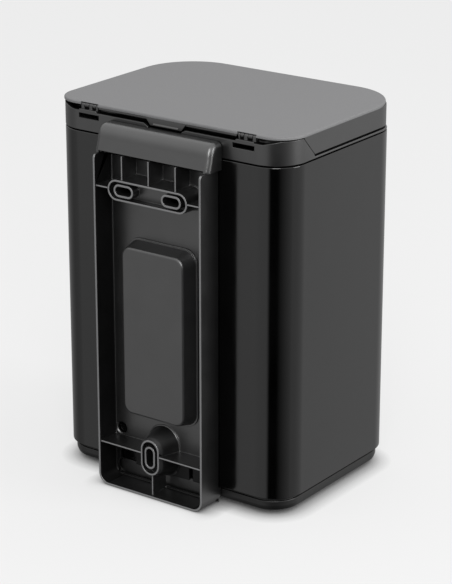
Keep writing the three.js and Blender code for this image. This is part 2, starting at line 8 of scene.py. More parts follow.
import bmesh
import bpy
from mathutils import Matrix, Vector


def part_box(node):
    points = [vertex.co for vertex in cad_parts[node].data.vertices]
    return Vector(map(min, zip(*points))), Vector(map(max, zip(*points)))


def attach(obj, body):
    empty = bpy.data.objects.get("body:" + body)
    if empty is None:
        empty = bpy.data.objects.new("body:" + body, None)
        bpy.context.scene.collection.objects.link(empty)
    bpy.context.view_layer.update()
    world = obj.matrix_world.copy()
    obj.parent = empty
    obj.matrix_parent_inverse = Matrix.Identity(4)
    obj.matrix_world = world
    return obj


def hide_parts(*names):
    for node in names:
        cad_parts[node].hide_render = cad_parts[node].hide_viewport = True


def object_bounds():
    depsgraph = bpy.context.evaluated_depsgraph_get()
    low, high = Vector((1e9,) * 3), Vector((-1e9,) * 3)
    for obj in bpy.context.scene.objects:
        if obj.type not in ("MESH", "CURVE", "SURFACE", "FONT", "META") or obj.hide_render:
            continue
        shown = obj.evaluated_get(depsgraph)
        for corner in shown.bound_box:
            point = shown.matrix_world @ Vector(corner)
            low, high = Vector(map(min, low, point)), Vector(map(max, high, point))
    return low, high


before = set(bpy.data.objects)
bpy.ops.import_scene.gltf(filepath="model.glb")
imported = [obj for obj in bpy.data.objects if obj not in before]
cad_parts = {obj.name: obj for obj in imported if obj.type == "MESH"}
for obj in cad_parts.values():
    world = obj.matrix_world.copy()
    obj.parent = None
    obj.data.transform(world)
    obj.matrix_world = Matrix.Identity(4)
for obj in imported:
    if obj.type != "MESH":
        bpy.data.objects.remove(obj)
cad_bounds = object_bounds()

MM = 0.001
SLEEVE_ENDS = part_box("body_shell")
CENTRE_Y = (SLEEVE_ENDS[0][1] + SLEEVE_ENDS[1][1]) / 2


class Box:
    """A CAD node's box in millimetres."""

    def __init__(self, node):
        low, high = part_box(node)
        self.x0, self.x1 = low[0] / MM, high[0] / MM
        self.y0, self.y1 = (low[1] - CENTRE_Y) / MM, (high[1] - CENTRE_Y) / MM
        self.z0, self.z1 = low[2] / MM, high[2] / MM


# ---------------------------------------------------------------- driving dimensions, mm
SLEEVE = Box("body_shell")
EDGE = SLEEVE.z1  # the sleeve's top edge, from which heights near the top are given
CORNER = 27
SHEET = 1.0
HEM = 4.0
PLUG = HEM + 0.5  # inset of what stands inside the sleeve's ends
LID = Box("lid_plate")
LID_FRONT_CORNER = 48
LID_REAR_CORNER = 23
PIN = Box("hinge_pin_left")
HINGE_Y = (PIN.y0 + PIN.y1) / 2
HINGE_Z = (PIN.z0 + PIN.z1) / 2
HINGE_BORE = 1.35
KNUCKLE = 2.2
COLLAR = Box("collar")
COLLAR_WALL = 2.6
RIM_TOP = EDGE + 2.8
REAR_TOP = EDGE + 20.2
LIP_TOP = EDGE + 16.8
BRACKET = Box("wall_bracket")
HOOD = Box("hook_hood")
SPACER = Box("bracket_spacer")
CHANNEL_TOP = EDGE - 7.8
PLATE_FRONT, PLATE_BACK = 81.4, 83.4
BEYOND = 1.0  # how far a cutter reaches past the face that it opens


# ---------------------------------------------------------------- outlines
def rounded_rect(x0, x1, y0, y1, low, high=None, steps=10):
    """A rectangle with round corners, of radius low at y0 and high at y1."""
    high = low if high is None else high
    corners = [
        (x1 - low, y0 + low, low, -90),
        (x1 - high, y1 - high, high, 0),
        (x0 + high, y1 - high, high, 90),
        (x0 + low, y0 + low, low, 180),
    ]
    points = []
    for cx, cy, radius, start in corners:
        for step in range(steps + 1):
            angle = math.radians(start + 90 * step / steps)
            points.append((cx + radius * math.cos(angle), cy + radius * math.sin(angle)))
    return points


def stadium(half_x, half_y, steps=10):
    """A slot's outline, rounded over its short side."""
    return rounded_rect(-half_x, half_x, -half_y, half_y, min(half_x, half_y), steps=steps)


def body_outline(inset):
    x, y = SLEEVE.x1 - inset, SLEEVE.y1 - inset
    return rounded_rect(-x, x, -y, y, CORNER - inset, steps=20)


def lid_outline(inset):
    x = LID.x1 - inset
    corners = LID_FRONT_CORNER - inset, LID_REAR_CORNER - inset
    return rounded_rect(-x, x, LID.y0 + inset, LID.y1 - inset, *corners, steps=20)


def softened(points, radii, steps=5, closed=True):
    """A polyline with each corner turned into an arc. radii is one value, or one for each point."""
    out = []
    last = len(points) - 1
    for i, point in enumerate(points):
        radius = radii[i] if isinstance(radii, (list, tuple)) else radii
        if not radius or (not closed and i in (0, last)):
            out.append(tuple(point))
            continue
        corner = Vector(point)
        back = (Vector(points[i - 1]) - corner).normalized()
        ahead = (Vector(points[(i + 1) % len(points)]) - corner).normalized()
        half = back.angle(ahead) / 2
        centre = corner + (back + ahead).normalized() * radius / math.sin(half)
        start = corner + back * radius / math.tan(half) - centre
        sweep = math.pi - 2 * half
        if back.x * ahead.y - back.y * ahead.x > 0:
            sweep = -sweep
        for step in range(steps + 1):
            angle = sweep * step / steps
            turned = (
                start.x * math.cos(angle) - start.y * math.sin(angle),
                start.x * math.sin(angle) + start.y * math.cos(angle),
            )
            out.append((centre.x + turned[0], centre.y + turned[1]))
    return out


# ---------------------------------------------------------------- solids
AXES = {
    "x": lambda a, b, along: (along, a, b),
    "y": lambda a, b, along: (a, along, b),
    "z": lambda a, b, along: (a, b, along),
}


def edit(shape, *steps):
    """Runs bmesh steps on a shape's mesh."""
    mesh = bmesh.new()
    mesh.from_mesh(shape.data)
    for step in steps:
        step(mesh)
    mesh.to_mesh(shape.data)
    mesh.free()
    return shape


def weld(mesh):
    bmesh.ops.remove_doubles(mesh, verts=mesh.verts, dist=0.002 * MM)
    bmesh.ops.recalc_face_normals(mesh, faces=mesh.faces)


def skin(rings, closed=False):
    """A solid through rings of points in mm. closed joins the last ring to the first."""
    count = len(rings[0])
    points = [(x * MM, y * MM + CENTRE_Y, z * MM) for ring in rings for x, y, z in ring]
    faces = []
    spans = len(rings) if closed else len(rings) - 1
    for a in range(spans):
        b = (a + 1) % len(rings)
        for i in range(count):
            j = (i + 1) % count
            faces.append((a * count + i, a * count + j, b * count + j, b * count + i))
    if not closed:
        faces.append(tuple(range(count)))
        faces.append(tuple(range(spans * count, (spans + 1) * count)))
    data = bpy.data.meshes.new("shape")
    data.from_pydata(points, [], faces)
    shape = bpy.data.objects.new("shape", data)
    bpy.context.scene.collection.objects.link(shape)
    return edit(shape, weld)


def swept(outline, profile, axis="z", closed=False, at=(0, 0)):
    """A solid whose outline(inset) follows the profile's (inset, place along the axis)."""
    place = AXES[axis]
    return skin(
        [[place(a + at[0], b + at[1], along) for a, b in outline(inset)] for inset, along in profile],
        closed,
    )


def prism(points, axis, low, high, at=(0, 0)):
    return swept(lambda _: points, [(0, low), (0, high)], axis, at=at)


def block(x0, x1, y0, y1, z0, z1):
    return prism([(x0, y0), (x1, y0), (x1, y1), (x0, y1)], "z", z0, z1)


def circle(radius, sides=32):
    turns = [2 * math.pi * i / sides for i in range(sides)]
    return [(radius * math.cos(turn), radius * math.sin(turn)) for turn in turns]


def rod(axis, radius, low, high, at, sides=32):
    return prism(circle(radius, sides), axis, low, high, at)


def lathe(profile, axis, at, sides=40):
    """Turns a profile of (radius, place along the axis) that starts and ends near the axis."""
    return swept(lambda radius: circle(max(radius, 0.01), sides), profile, axis, at=at)


def applied(shape):
    """Replaces a shape's mesh by what its modifiers make of it."""
    graph = bpy.context.evaluated_depsgraph_get()
    made = bpy.data.meshes.new_from_object(shape.evaluated_get(graph))
    shape.modifiers.clear()
    shape.data = made
    return shape


def combined(first, tools, operation):
    for tool in tools:
        modifier = first.modifiers.new("combine", "BOOLEAN")
        modifier.operation = operation
        modifier.solver = "MANIFOLD"
        modifier.object = tool
    applied(first)
    for tool in tools:
        bpy.data.objects.remove(tool)
    return first


def join(first, *tools):
    return combined(first, tools, "UNION")


def cut(first, *tools):
    return combined(first, tools, "DIFFERENCE")


def common(first, *tools):
    return combined(first, tools, "INTERSECT")


def flatten(mesh):
    """Takes out the edges that booleans leave across flat faces."""
    weld(mesh)
    bmesh.ops.dissolve_limit(
        mesh,
        angle_limit=math.radians(0.4),
        verts=mesh.verts,
        edges=mesh.edges,
    )


def eased(shape, width, segments=2, angle=32):
    """Rounds the edges of a shape made by booleans."""
    edit(shape, flatten)
    modifier = shape.modifiers.new("ease", "BEVEL")
    modifier.width = width * MM
    modifier.segments = segments
    modifier.limit_method = "ANGLE"
    modifier.angle_limit = math.radians(angle)
    modifier.use_clamp_overlap = False
    return edit(applied(shape), weld)


def piece(name, shape, body, node, material, sharp=50):
    """Names a finished shape and ties it to the frame."""
    shape.name = name
    shape.data.name = name
    shape.data.materials.clear()
    shape.data.materials.append(material)
    shape.data.shade_smooth()
    shape.data.set_sharp_from_angle(angle=math.radians(sharp))
    even = shape.modifiers.new("even", "WEIGHTED_NORMAL")
    even.keep_sharp = True
    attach(shape, body)
    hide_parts(node)
    return shape


def span(side, low, high):
    """The stretch of x from low to high on one side."""
    return (low, high) if side > 0 else (-high, -low)


# ---------------------------------------------------------------- materials
class Nodes:
    """A material under construction, with its object coordinates at hand."""

    def __init__(self, name, roughness, **sockets):
        self.material = bpy.data.materials.new(name)
        self.material.use_nodes = True
        self.tree = self.material.node_tree
        self.shader = self.tree.nodes["Principled BSDF"]
        self.shader.inputs["Roughness"].default_value = roughness
        for socket, value in sockets.items():
            self.shader.inputs[socket.replace("_", " ")].default_value = value
        self.place = self.tree.nodes.new("ShaderNodeTexCoord").outputs["Object"]

    def add(self, kind, **values):
        node = self.tree.nodes.new(kind)
        for key, value in values.items():
            if key[0].isupper():
                node.inputs[key.replace("_", " ")].default_value = value
            else:
                setattr(node, key, value)
        return node

    def link(self, source, target):
        self.tree.links.new(source, target)

    def noise(self, grain, detail=2.0, roughness=0.5):
        """A noise whose features are about grain mm wide."""
        node = self.add("ShaderNodeTexNoise", Scale=1 / (grain * MM), Detail=detail, Roughness=roughness)
        self.link(self.place, node.inputs["Vector"])
        return node.outputs["Fac"]

    def between(self, factor, low, high, start=0.35, end=0.65):
        """Spreads a factor over a range of values."""
        node = self.add("ShaderNodeMapRange")
        self.link(factor, node.inputs["Value"])
        for socket, value in (("From Min", start), ("From Max", end), ("To Min", low), ("To Max", high)):
            node.inputs[socket].default_value = value
        return node.outputs["Result"]

    def colours(self, factor, low, high, start=0.35, end=0.65):
        ramp = self.add("ShaderNodeValToRGB")
        first, last = ramp.color_ramp.elements
        first.position, last.position = start, end
        first.color = (*low, 1)
        last.color = (*high, 1)
        self.link(factor, ramp.inputs["Fac"])
        self.link(ramp.outputs["Color"], self.shader.inputs["Base Color"])

    def paint_rim_highlights(self, from_y, level):
        """Paints a highlight on the faces that look towards the wall beyond from_y by paling their colour
        towards level.
        """
        shown = self.shader.inputs["Base Color"].links[0].from_socket
        place = self.add("ShaderNodeSeparateXYZ")
        self.link(self.place, place.inputs[0])
        beyond = self.add("ShaderNodeMath", operation="GREATER_THAN")
        beyond.inputs[1].default_value = from_y * MM + CENTRE_Y
        self.link(place.outputs["Y"], beyond.inputs[0])
        facing = self.add("ShaderNodeSeparateXYZ")
        self.link(self.place.node.outputs["Normal"], facing.inputs[0])
        amount = self.add("ShaderNodeMath", operation="MULTIPLY")
        self.link(self.between(facing.outputs["Y"], 0, 1, 0.2, 0.7), amount.inputs[0])
        self.link(beyond.outputs[0], amount.inputs[1])
        pale = self.add("ShaderNodeMix", data_type="RGBA")
        pale.inputs["B"].default_value = (*grey(level), 1)
        self.link(amount.outputs[0], pale.inputs["Factor"])
        self.link(shown, pale.inputs["A"])
        self.link(pale.outputs["Result"], self.shader.inputs["Base Color"])

    def rough(self, factor, low, high):
        self.link(self.between(factor, low, high), self.shader.inputs["Roughness"])

    def bump(self, heights):
        """heights are (factor, depth in mm) pairs."""
        normal = None
        for factor, depth in heights:
            node = self.add("ShaderNodeBump", Strength=1.0, Distance=depth * MM)
            self.link(factor, node.inputs["Height"])
            if normal:
                self.link(normal, node.inputs["Normal"])
            normal = node.outputs["Normal"]
        self.link(normal, self.shader.inputs["Normal"])


def grey(value):
    return (value, value, value * 1.02)


def lacquered_steel():
    """Deep black stoved lacquer with a faint orange peel."""
    nodes = Nodes("lacquered_steel", 0.13, IOR=1.5)
    nodes.colours(nodes.noise(60), grey(0.0003), grey(0.0008))
    nodes.rough(nodes.noise(25, 4), 0.11, 0.15)
    nodes.bump([(nodes.noise(2.6, 1), 0.0022), (nodes.noise(0.4, 2), 0.0002)])
    return nodes.material


def powder_coat():
    """Matte powder coat with a fine even grain."""
    nodes = Nodes("powder_coated_steel", 0.5, IOR=1.5)
    nodes.colours(nodes.noise(0.5, 3), grey(0.083), grey(0.099))
    nodes.rough(nodes.noise(0.6, 4), 0.6, 0.64)
    nodes.bump([(nodes.noise(0.55, 3), 0.02), (nodes.noise(3.0, 1), 0.006)])
    return nodes.material


def moulded_plastic(name, dark, light, rough, grain=0.4, depth=0.012, ior=1.66, rims=None):
    """Black plastic with the fine grain of an eroded mould.

    rims is (from y in mm, level) for a highlight painted into the colour of the edges.
    """
    nodes = Nodes(name, rough, IOR=ior)
    nodes.colours(nodes.noise(14, 4), dark, light)
    nodes.rough(nodes.noise(20, 5), rough - 0.02, rough + 0.02)
    cells = nodes.add("ShaderNodeTexVoronoi", Scale=1 / (grain * MM))
    nodes.link(nodes.place, cells.inputs["Vector"])
    nodes.bump([(cells.outputs["Distance"], depth), (nodes.noise(grain * 6, 2), depth / 3)])
    # Paints a highlight on the edges, as colour.
    if rims:
        nodes.paint_rim_highlights(*rims)
    return nodes.material


def rubber():
    nodes = Nodes("rubber", 0.85, IOR=1.5)
    nodes.colours(nodes.noise(3, 4), grey(0.006), grey(0.014))
    nodes.bump([(nodes.noise(0.5, 4), 0.03)])
    return nodes.material


def zinc_steel():
    """Bright zinc plate with the faint mottle of the bath."""
    nodes = Nodes("zinc_plated_steel", 0.35, Metallic=1.0)
    nodes.colours(nodes.noise(1.2, 4), (0.5, 0.51, 0.53), (0.66, 0.67, 0.69))
    nodes.rough(nodes.noise(0.8, 3), 0.28, 0.42)
    nodes.bump([(nodes.noise(0.25, 3), 0.004)])
    return nodes.material


# Colours and indices here are set against one photo; they aren't measured.
GLOSS = lacquered_steel()
MATTE = powder_coat()
PLASTIC = moulded_plastic("moulded_plastic", grey(0.0014), grey(0.0022), 0.33, ior=1.74)
BASE_PLASTIC = moulded_plastic("base_plastic", grey(0.0014), grey(0.0022), 0.42, ior=1.42)
HOOD_PLASTIC = moulded_plastic("hood_plastic", grey(0.004), grey(0.006), 0.33, ior=1.78)
SPACER_PLASTIC = moulded_plastic("spacer_plastic", grey(0.007), grey(0.009), 0.38, ior=1.78)
BRACKET_GREYS = (grey(0.0012), grey(0.002))
# The bracket's edges beyond y 99.4 mm get a painted highlight, paled to level 0.075.
BRACKET_HIGHLIT_RIMS = (99.4, 0.075)
BRACKET_PLASTIC = moulded_plastic("bracket_plastic", *BRACKET_GREYS, 0.37, ior=1.82, rims=BRACKET_HIGHLIT_RIMS)
# A duller copy of the bracket plastic, for shade painted into its recesses.
BRACKET_PAINTED_SHADE = moulded_plastic("bracket_painted_shade", *BRACKET_GREYS, 0.5, ior=1.3, rims=BRACKET_HIGHLIT_RIMS)
BUCKET_PLASTIC = moulded_plastic("bucket_plastic", grey(0.018), grey(0.024), 0.5, 0.8, 0.02)
RUBBER = rubber()
ZINC = zinc_steel()


# ---------------------------------------------------------------- steel sleeve
def body_sleeve():
    lip = 3.4
    inner = SHEET + 0.1
    profile = softened(
        [
            (0, SLEEVE.z0),
            (0, EDGE),
            (HEM, EDGE),
            (HEM, EDGE - lip),
            (inner, EDGE - lip - 2),
            (inner, SLEEVE.z0 + lip + 2),
            (HEM, SLEEVE.z0 + lip),
            (HEM, SLEEVE.z0),
        ],
        0.7,
    )
    shape = swept(body_outline, profile, closed=True)
    return piece("sleeve", shape, "bin", "body_shell", GLOSS)


# ---------------------------------------------------------------- base and feet
def base():
    tray = Box("base_tray")
    top = SLEEVE.z0 - 3  # a dark line stays open under the sleeve
    side = 3.0
    outside = softened(
        [
            (side + 6, tray.z0),
            (side + 1.5, tray.z0),
            (side, tray.z0 + 4),
            (side, top),
            (PLUG, top),
            (PLUG, tray.z1),
        ],
        [0, 2.2, 4, 0.8, 0, 0],
        closed=False,
    )
    shape = swept(body_outline, outside)
    inner = PLUG + 2
    floor = tray.z0 + 2.5
    well = [(inner + 9, floor), (inner, floor), (inner, tray.z1 + BEYOND)]
    inside = softened(well, [0, 2.5, 0], closed=False)
    recess = [(17, tray.z0 - BEYOND), (17, tray.z0 + 0.8), (17.8, tray.z0 + 1.2)]
    shape = cut(shape, swept(body_outline, inside), swept(body_outline, recess))
    rib_ends = (SLEEVE.y0 + 6, SLEEVE.y1 - 6, floor - 0.2, floor + 5.5)
    ribs = [block(x - 0.8, x + 0.8, *rib_ends) for x in (-60, -20, 20, 60)]
    for half in (40, 70):
        ring = swept(
            lambda inset: rounded_rect(-half - inset, half + inset, -half / 2 - inset, half / 2 + inset, 14),
            [(0, tray.z0), (0, tray.z0 + 1.4), (1.4, tray.z0 + 1.4), (1.4, tray.z0)],
            closed=True,
        )
        ribs.append(ring)
    shape = eased(join(shape, *ribs), 0.3)
    piece("base", shape, "bin", "base_tray", BASE_PLASTIC)


def feet():
    for end in ("front", "rear"):
        for side in ("left", "right"):
            node = f"foot_{end}_{side}"
            foot = Box(node)
            radius = (foot.x1 - foot.x0) / 2
            at = ((foot.x0 + foot.x1) / 2, (foot.y0 + foot.y1) / 2)
            profile = softened(
                [
                    (0, 0.9),
                    (radius - 3.4, 0.9),
                    (radius - 2.6, 0),
                    (radius - 0.3, 0),
                    (radius, foot.z1),
                    (0, foot.z1),
                ],
                [0, 0.3, 0.3, 1.1, 0.4, 0],
                closed=False,
            )
            piece(f"rubber_{node}", lathe(profile, "z", at), "bin", node, RUBBER)


# ---------------------------------------------------------------- collar
EARS = [(67.6, 69.6), (73.3, 76.5), (81.3, 84.4)]
HINGE_BLOCK = {"x0": 67.6, "x1": 84.4, "y0": 73.4, "z0": EDGE + 15.3, "z1": EDGE + 18.2}
HINGE_SLOT = {"x0": 64.8, "x1": 84.6, "z0": EDGE + 11.3, "z1": EDGE + 15}
SHOULDER = {"low_y": 41.7, "low_z": EDGE + 5.3, "high_y": 55.2, "high_z": EDGE + 19.3}
HOOK_SCREW = {"x": 40, "z": EDGE + 8.2}


def collar():
    low = EDGE + 0.3
    plug = [(PLUG, COLLAR.z0), (PLUG, low + 0.3), (PLUG + 2, low + 0.3), (PLUG + 2, COLLAR.z0)]
    # A groove stays open over the sleeve's edge, and the rim leans in a little.
    rim = [
        (1.8, low),
        (1.8, low + 0.9),
        (0, low + 0.9),
        (0, low + 1.3),
        (0.5, RIM_TOP),
        (9.5, RIM_TOP),
        (9.5, low),
    ]
    raised = [(0, low + 1.1), (0, REAR_TOP), (COLLAR_WALL, REAR_TOP), (COLLAR_WALL, low + 1.1)]
    rear_part = prism(
        softened(
            [
                (SHOULDER["low_y"] - 3, RIM_TOP - 3),
                (SHOULDER["low_y"], SHOULDER["low_z"]),
                (SHOULDER["high_y"], SHOULDER["high_z"]),
                (SHOULDER["high_y"] + 0.9, REAR_TOP + BEYOND),
                (SLEEVE.y1 + BEYOND, REAR_TOP + BEYOND),
                (SLEEVE.y1 + BEYOND, RIM_TOP - 3),
            ],
            [0, 3, 2, 0, 0, 0],
        ),
        "x",
        SLEEVE.x0 - BEYOND,
        SLEEVE.x1 + BEYOND,
    )
    wall = common(swept(body_outline, raised, closed=True), rear_part)
    shape = join(swept(body_outline, plug, closed=True), swept(body_outline, rim, closed=True), wall)

    # The top of the rear wall dips where the lid's rim and tongue swing down.
    top = REAR_TOP + BEYOND
    half = [
        (16, LIP_TOP - 3.2),
        (16.6, LIP_TOP - 2),
        (20.2, LIP_TOP),
        (67.2, LIP_TOP),
        (67.2, LIP_TOP + 1),
        (84.4, LIP_TOP + 1),
        (84.4, LIP_TOP + 0.4),
        (92, LIP_TOP + 0.4),
        (106, REAR_TOP + 0.2),
        (106, top),
    ]
    mirrored = [(-x, z) for x, z in reversed(half)]
    cutters = [prism(mirrored + half, "y", 72, SLEEVE.y1 + BEYOND)]
    additions = []
    for side in (-1, 1):
        x0, x1 = span(side, HINGE_BLOCK["x0"], HINGE_BLOCK["x1"])
        top_of_block = HINGE_BLOCK["z1"]
        additions.append(block(x0, x1, HINGE_BLOCK["y0"], SLEEVE.y1, HINGE_BLOCK["z0"] - 0.2, top_of_block))
        for low_x, high_x in EARS:
            arch = [(HINGE_Y - KNUCKLE, top_of_block - 0.5), (HINGE_Y + KNUCKLE, top_of_block - 0.5)]
            for step in range(13):
                turn = math.pi * step / 12
                arch.append((HINGE_Y + KNUCKLE * math.cos(turn), HINGE_Z + KNUCKLE * math.sin(turn)))
            additions.append(prism(arch, "x", *span(side, low_x, high_x)))
    shape = join(cut(shape, *cutters), *additions)
    holes = []
    for side in (-1, 1):
        x0, x1 = span(side, HINGE_BLOCK["x0"] - BEYOND, HINGE_BLOCK["x1"] - 1)
        holes.append(rod("x", HINGE_BORE, x0, x1, (HINGE_Y, HINGE_Z), 16))
        x0, x1 = span(side, HINGE_SLOT["x0"], HINGE_SLOT["x1"])
        holes.append(block(x0, x1, 76, 82, HINGE_SLOT["z0"], HINGE_SLOT["z1"]))
        holes.append(rod("y", 1.9, 76, 82, (side * HOOK_SCREW["x"], HOOK_SCREW["z"]), 16))
    shape = eased(cut(shape, *holes), 0.35)
    piece("collar_ring", shape, "bin", "collar", PLASTIC)


def hinge_pins():
    for side in ("left", "right"):
        node = f"hinge_pin_{side}"
        pin = Box(node)
        profile = softened(
            [(0, pin.x0), (1.2, pin.x0), (1.2, pin.x1), (0, pin.x1)],
            [0, 0.3, 0.3, 0],
            steps=3,
            closed=False,
        )
        shape = lathe(profile, "x", (HINGE_Y, HINGE_Z), 24)
        piece(f"steel_{node}", shape, "bin", node, ZINC)


# ---------------------------------------------------------------- screws
def cross_recess(axis, at, face, depth, reach):
    """Cutters for a cross recess that opens at face."""
    low, high = sorted((face, face + depth))
    bars = []
    for a, b in ((reach, 0.35), (0.35, reach)):
        points = [(-a, -b), (a, -b), (a, b), (-a, b)]
        bars.append(prism(points, axis, low, high, at))
    return bars


def screw(name, node, body, axis, at, head, shank, head_radius, shank_radius):
    """A pan-head screw. head and shank are (start, end) along the axis, head first."""
    sign = 1 if shank[1] > head[0] else -1
    tip = shank[1]
    profile = softened(
        [
            (0, head[0]),
            (head_radius * 0.62, head[0] + sign * 0.1),
            (head_radius, head[1] - sign * 0.7),
            (head_radius, head[1]),
            (shank_radius, head[1]),
        ],
        [0, 0.8, 0.4, 0.15, 0.1],
        steps=4,
        closed=False,
    )
    pitch = 0.7
    turns = int(abs(tip - head[1]) / pitch) - 1
    for turn in range(turns):
        start = head[1] + sign * (turn + 0.6) * pitch
        profile.append((shank_radius * 0.8, start))
        profile.append((shank_radius, start + sign * pitch / 2))
    profile += [(shank_radius * 0.75, tip - sign * 0.6), (0, tip)]
    recess = cross_recess(axis, at, head[0] - sign * 0.2, sign * 1.3, head_radius * 0.55)
    shape = cut(lathe(profile, axis, at, 32), *recess)
    return piece(name, shape, body, node, ZINC, sharp=35)


# ---------------------------------------------------------------- lid
KNUCKLES = [(69.9, 73), (76.8, 81)]
DECK = {"z0": EDGE + 20.9, "z1": EDGE + 23, "inset": 1.5}
SKIRT = {"outer": 0.8, "inner": 3.2, "bottom": EDGE + 4.4}
SKIRT_SEAM = 1.1
TONGUE = {
    "half_top": 19.6,
    "half_bottom": 15,
    "top": EDGE + 21,
    "bottom": EDGE + 15.1,
    "y0": 74.6,
    "y1": 78.6,
}
LINER = Box("lid_liner")
HINGE_NOTCH = (67.2, 84.8)
LID_SKIN = 0.8
RIM_WALL = 1.2


def lid_cover():
    """The steel cover, slightly crowned, with a rim turned down round the frame."""
    crown = 0.6
    edge = [(0, LID.z0), (0, LID.z1 - crown), (4, LID.z1 - crown)]
    outside = softened(edge, [0, 1.2, 0], steps=8, closed=False)
    far = 60
    for step in range(1, 9):
        share = step / 8
        outside.append((4 + (far - 4) * share, LID.z1 - crown * (1 - share) ** 2))
    shape = swept(lid_outline_flat, outside)
    top = LID.z1 - crown - LID_SKIN
    inside = softened([(RIM_WALL, LID.z0 - BEYOND), (RIM_WALL, top), (4, top)], [0, 1, 0], closed=False)
    notches = []
    for side in (-1, 1):
        x0, x1 = span(side, *HINGE_NOTCH)
        # Under the skin it is a little deeper here, to clear the collar's ears.
        notches.append(block(x0, x1, 74.2, LID.y1 + BEYOND, LID.z0 - BEYOND, top + 0.42))
        notches.append(block(x0, x1, 77.1, LID.y1 + BEYOND, LID.z0 - BEYOND, LID.z1 + BEYOND))
    shape = cut(shape, swept(lid_outline, inside), *notches)
    piece("lid_cover", edit(shape, weld), "lid", "lid_plate", MATTE, sharp=40)


def lid_outline_flat(inset):
    """The lid's outline further in than its corners' radii, for the rings of the crown."""
    x = LID.x1 - inset
    corners = max(LID_FRONT_CORNER - inset, 2), max(LID_REAR_CORNER - inset, 1)
    return rounded_rect(-x, x, LID.y0 + inset, LID.y1 - inset, *corners, steps=20)


def lid_frame():
    deck = prism(lid_outline(DECK["inset"]), "z", DECK["z0"], DECK["z1"])
    ring = [
        (SKIRT["outer"], SKIRT["bottom"]),
        (SKIRT["outer"], DECK["z0"] + 0.2),
        (SKIRT["inner"], DECK["z0"] + 0.2),
        (SKIRT["inner"], SKIRT["bottom"]),
    ]
    front_part = prism(
        softened(
            [
                (SLEEVE.y0 - BEYOND, SKIRT["bottom"] - BEYOND),
                (SHOULDER["low_y"] - SKIRT_SEAM - 1.4, SKIRT["bottom"] - BEYOND),
                (SHOULDER["low_y"] - SKIRT_SEAM, SHOULDER["low_z"]),
                (SHOULDER["high_y"] - SKIRT_SEAM, SHOULDER["high_z"]),
                (SHOULDER["high_y"] - SKIRT_SEAM, DECK["z1"]),
                (SLEEVE.y0 - BEYOND, DECK["z1"]),
            ],
            [0, 0, 3, 2, 0, 0],
        ),
        "x",
        SLEEVE.x0 - BEYOND,
        SLEEVE.x1 + BEYOND,
    )
    skirt = common(swept(body_outline, ring, closed=True), front_part)
    tongue = prism(
        [
            (-TONGUE["half_bottom"], TONGUE["bottom"]),
            (TONGUE["half_bottom"], TONGUE["bottom"]),
            (TONGUE["half_top"], TONGUE["top"]),
            (-TONGUE["half_top"], TONGUE["top"]),
        ],
        "y",
        TONGUE["y0"],
        TONGUE["y1"],
    )
    rail_x = HINGE_NOTCH[0] - 0.4
    rail = block(-rail_x, rail_x, 75.9, 77.9, LIP_TOP + 2.7, DECK["z0"] + 0.3)
    shape = join(deck, skirt, tongue, rail)
    notches = []
    additions = []
    holes = []
    for side in (-1, 1):
        x0, x1 = span(side, *HINGE_NOTCH)
        notches.append(block(x0, x1, 72.9, LID.y1, DECK["z0"] - BEYOND, DECK["z1"] + BEYOND))
        for low_x, high_x in KNUCKLES:
            a, b = span(side, low_x, high_x)
            additions.append(rod("x", KNUCKLE, a, b, (HINGE_Y, HINGE_Z), 24))
            additions.append(block(a, b, 70, HINGE_Y, HINGE_Z, DECK["z1"]))
        holes.append(rod("x", HINGE_BORE, x0, x1, (HINGE_Y, HINGE_Z), 16))
    bumper_y = SLEEVE.y0 + 5.2
    for x in (-58, 58):
        additions.append(rod("z", 1.8, RIM_TOP + 4.2, DECK["z0"] + 0.1, (x, bumper_y), 20))
    for x in (-78, 78):
        for y in (-44, 44):
            additions.append(rod("z", 3.6, LINER.z0 + 2.1, DECK["z0"] + 0.1, (x, y), 24))
            holes.append(rod("z", 1.7, LINER.z0, DECK["z0"] + 0.6, (x, y), 16))
    back, low = TONGUE["y1"], TONGUE["bottom"] + 0.6
    ledge = [(back - 0.6, low), (back + 0.8, low), (back + 0.8, low + 0.7), (back - 0.6, low + 2.1)]
    additions.append(prism(ledge, "x", -12, 12))
    shape = cut(join(cut(shape, *notches), *additions), *holes)
    piece("lid_inner_frame", eased(shape, 0.25), "lid", "lid_frame", PLASTIC)


def lid_liner():
    wall = 1.8
    radii = CORNER - 4.2, CORNER - 10.2

    def outline(inset):
        low, high = (max(radius - inset, 0.5) for radius in radii)
        x0, x1 = LINER.x0 + inset, LINER.x1 - inset
        return rounded_rect(x0, x1, LINER.y0 + inset, LINER.y1 - inset, low, high, 16)

    outside = softened([(12, LINER.z0), (0, LINER.z0), (0, LINER.z1)], [0, 2.5, 0], closed=False)
    floor = LINER.z0 + wall
    inside = softened([(12, floor), (wall, floor), (wall, LINER.z1 + BEYOND)], [0, 1.2, 0], closed=False)
    shape = cut(swept(outline, outside), swept(outline, inside))
    holes = [rod("z", 1.7, LINER.z0 - BEYOND, LINER.z0 + 3, (x, y), 20) for x in (-78, 78) for y in (-44, 44)]
    depth, under = LINER.z0 + 0.5, LINER.z0 - BEYOND
    groove = [(22, under), (22, depth), (23.4, depth), (23.4, under)]
    shape = cut(shape, *holes, swept(outline, groove, closed=True))
    piece("lid_inner_cover", eased(shape, 0.3), "lid", "lid_liner", PLASTIC)


def lid_fittings():
    for side_name, side in (("right", -1), ("left", 1)):
        for end, sign in (("front", -1), ("rear", 1)):
            node = f"lid_screw_{end}_{side_name}"
            at = (side * 78, sign * 44)
            head = (LINER.z0 - 2, LINER.z0 - 0.3)
            screw(f"steel_{node}", node, "lid", "z", at, head, (head[1], LINER.z1), 3, 1.4)
        node = f"lid_bumper_{side_name}"
        stop = Box(node)
        at = ((stop.x0 + stop.x1) / 2, (stop.y0 + stop.y1) / 2)
        profile = softened(
            [(0, stop.z0), (1.6, stop.z0 + 0.1), (1.8, stop.z1), (0, stop.z1)],
            [0, 1.1, 0.2, 0],
            closed=False,
        )
        piece(f"rubber_{node}", lathe(profile, "z", at, 24), "lid", node, RUBBER)


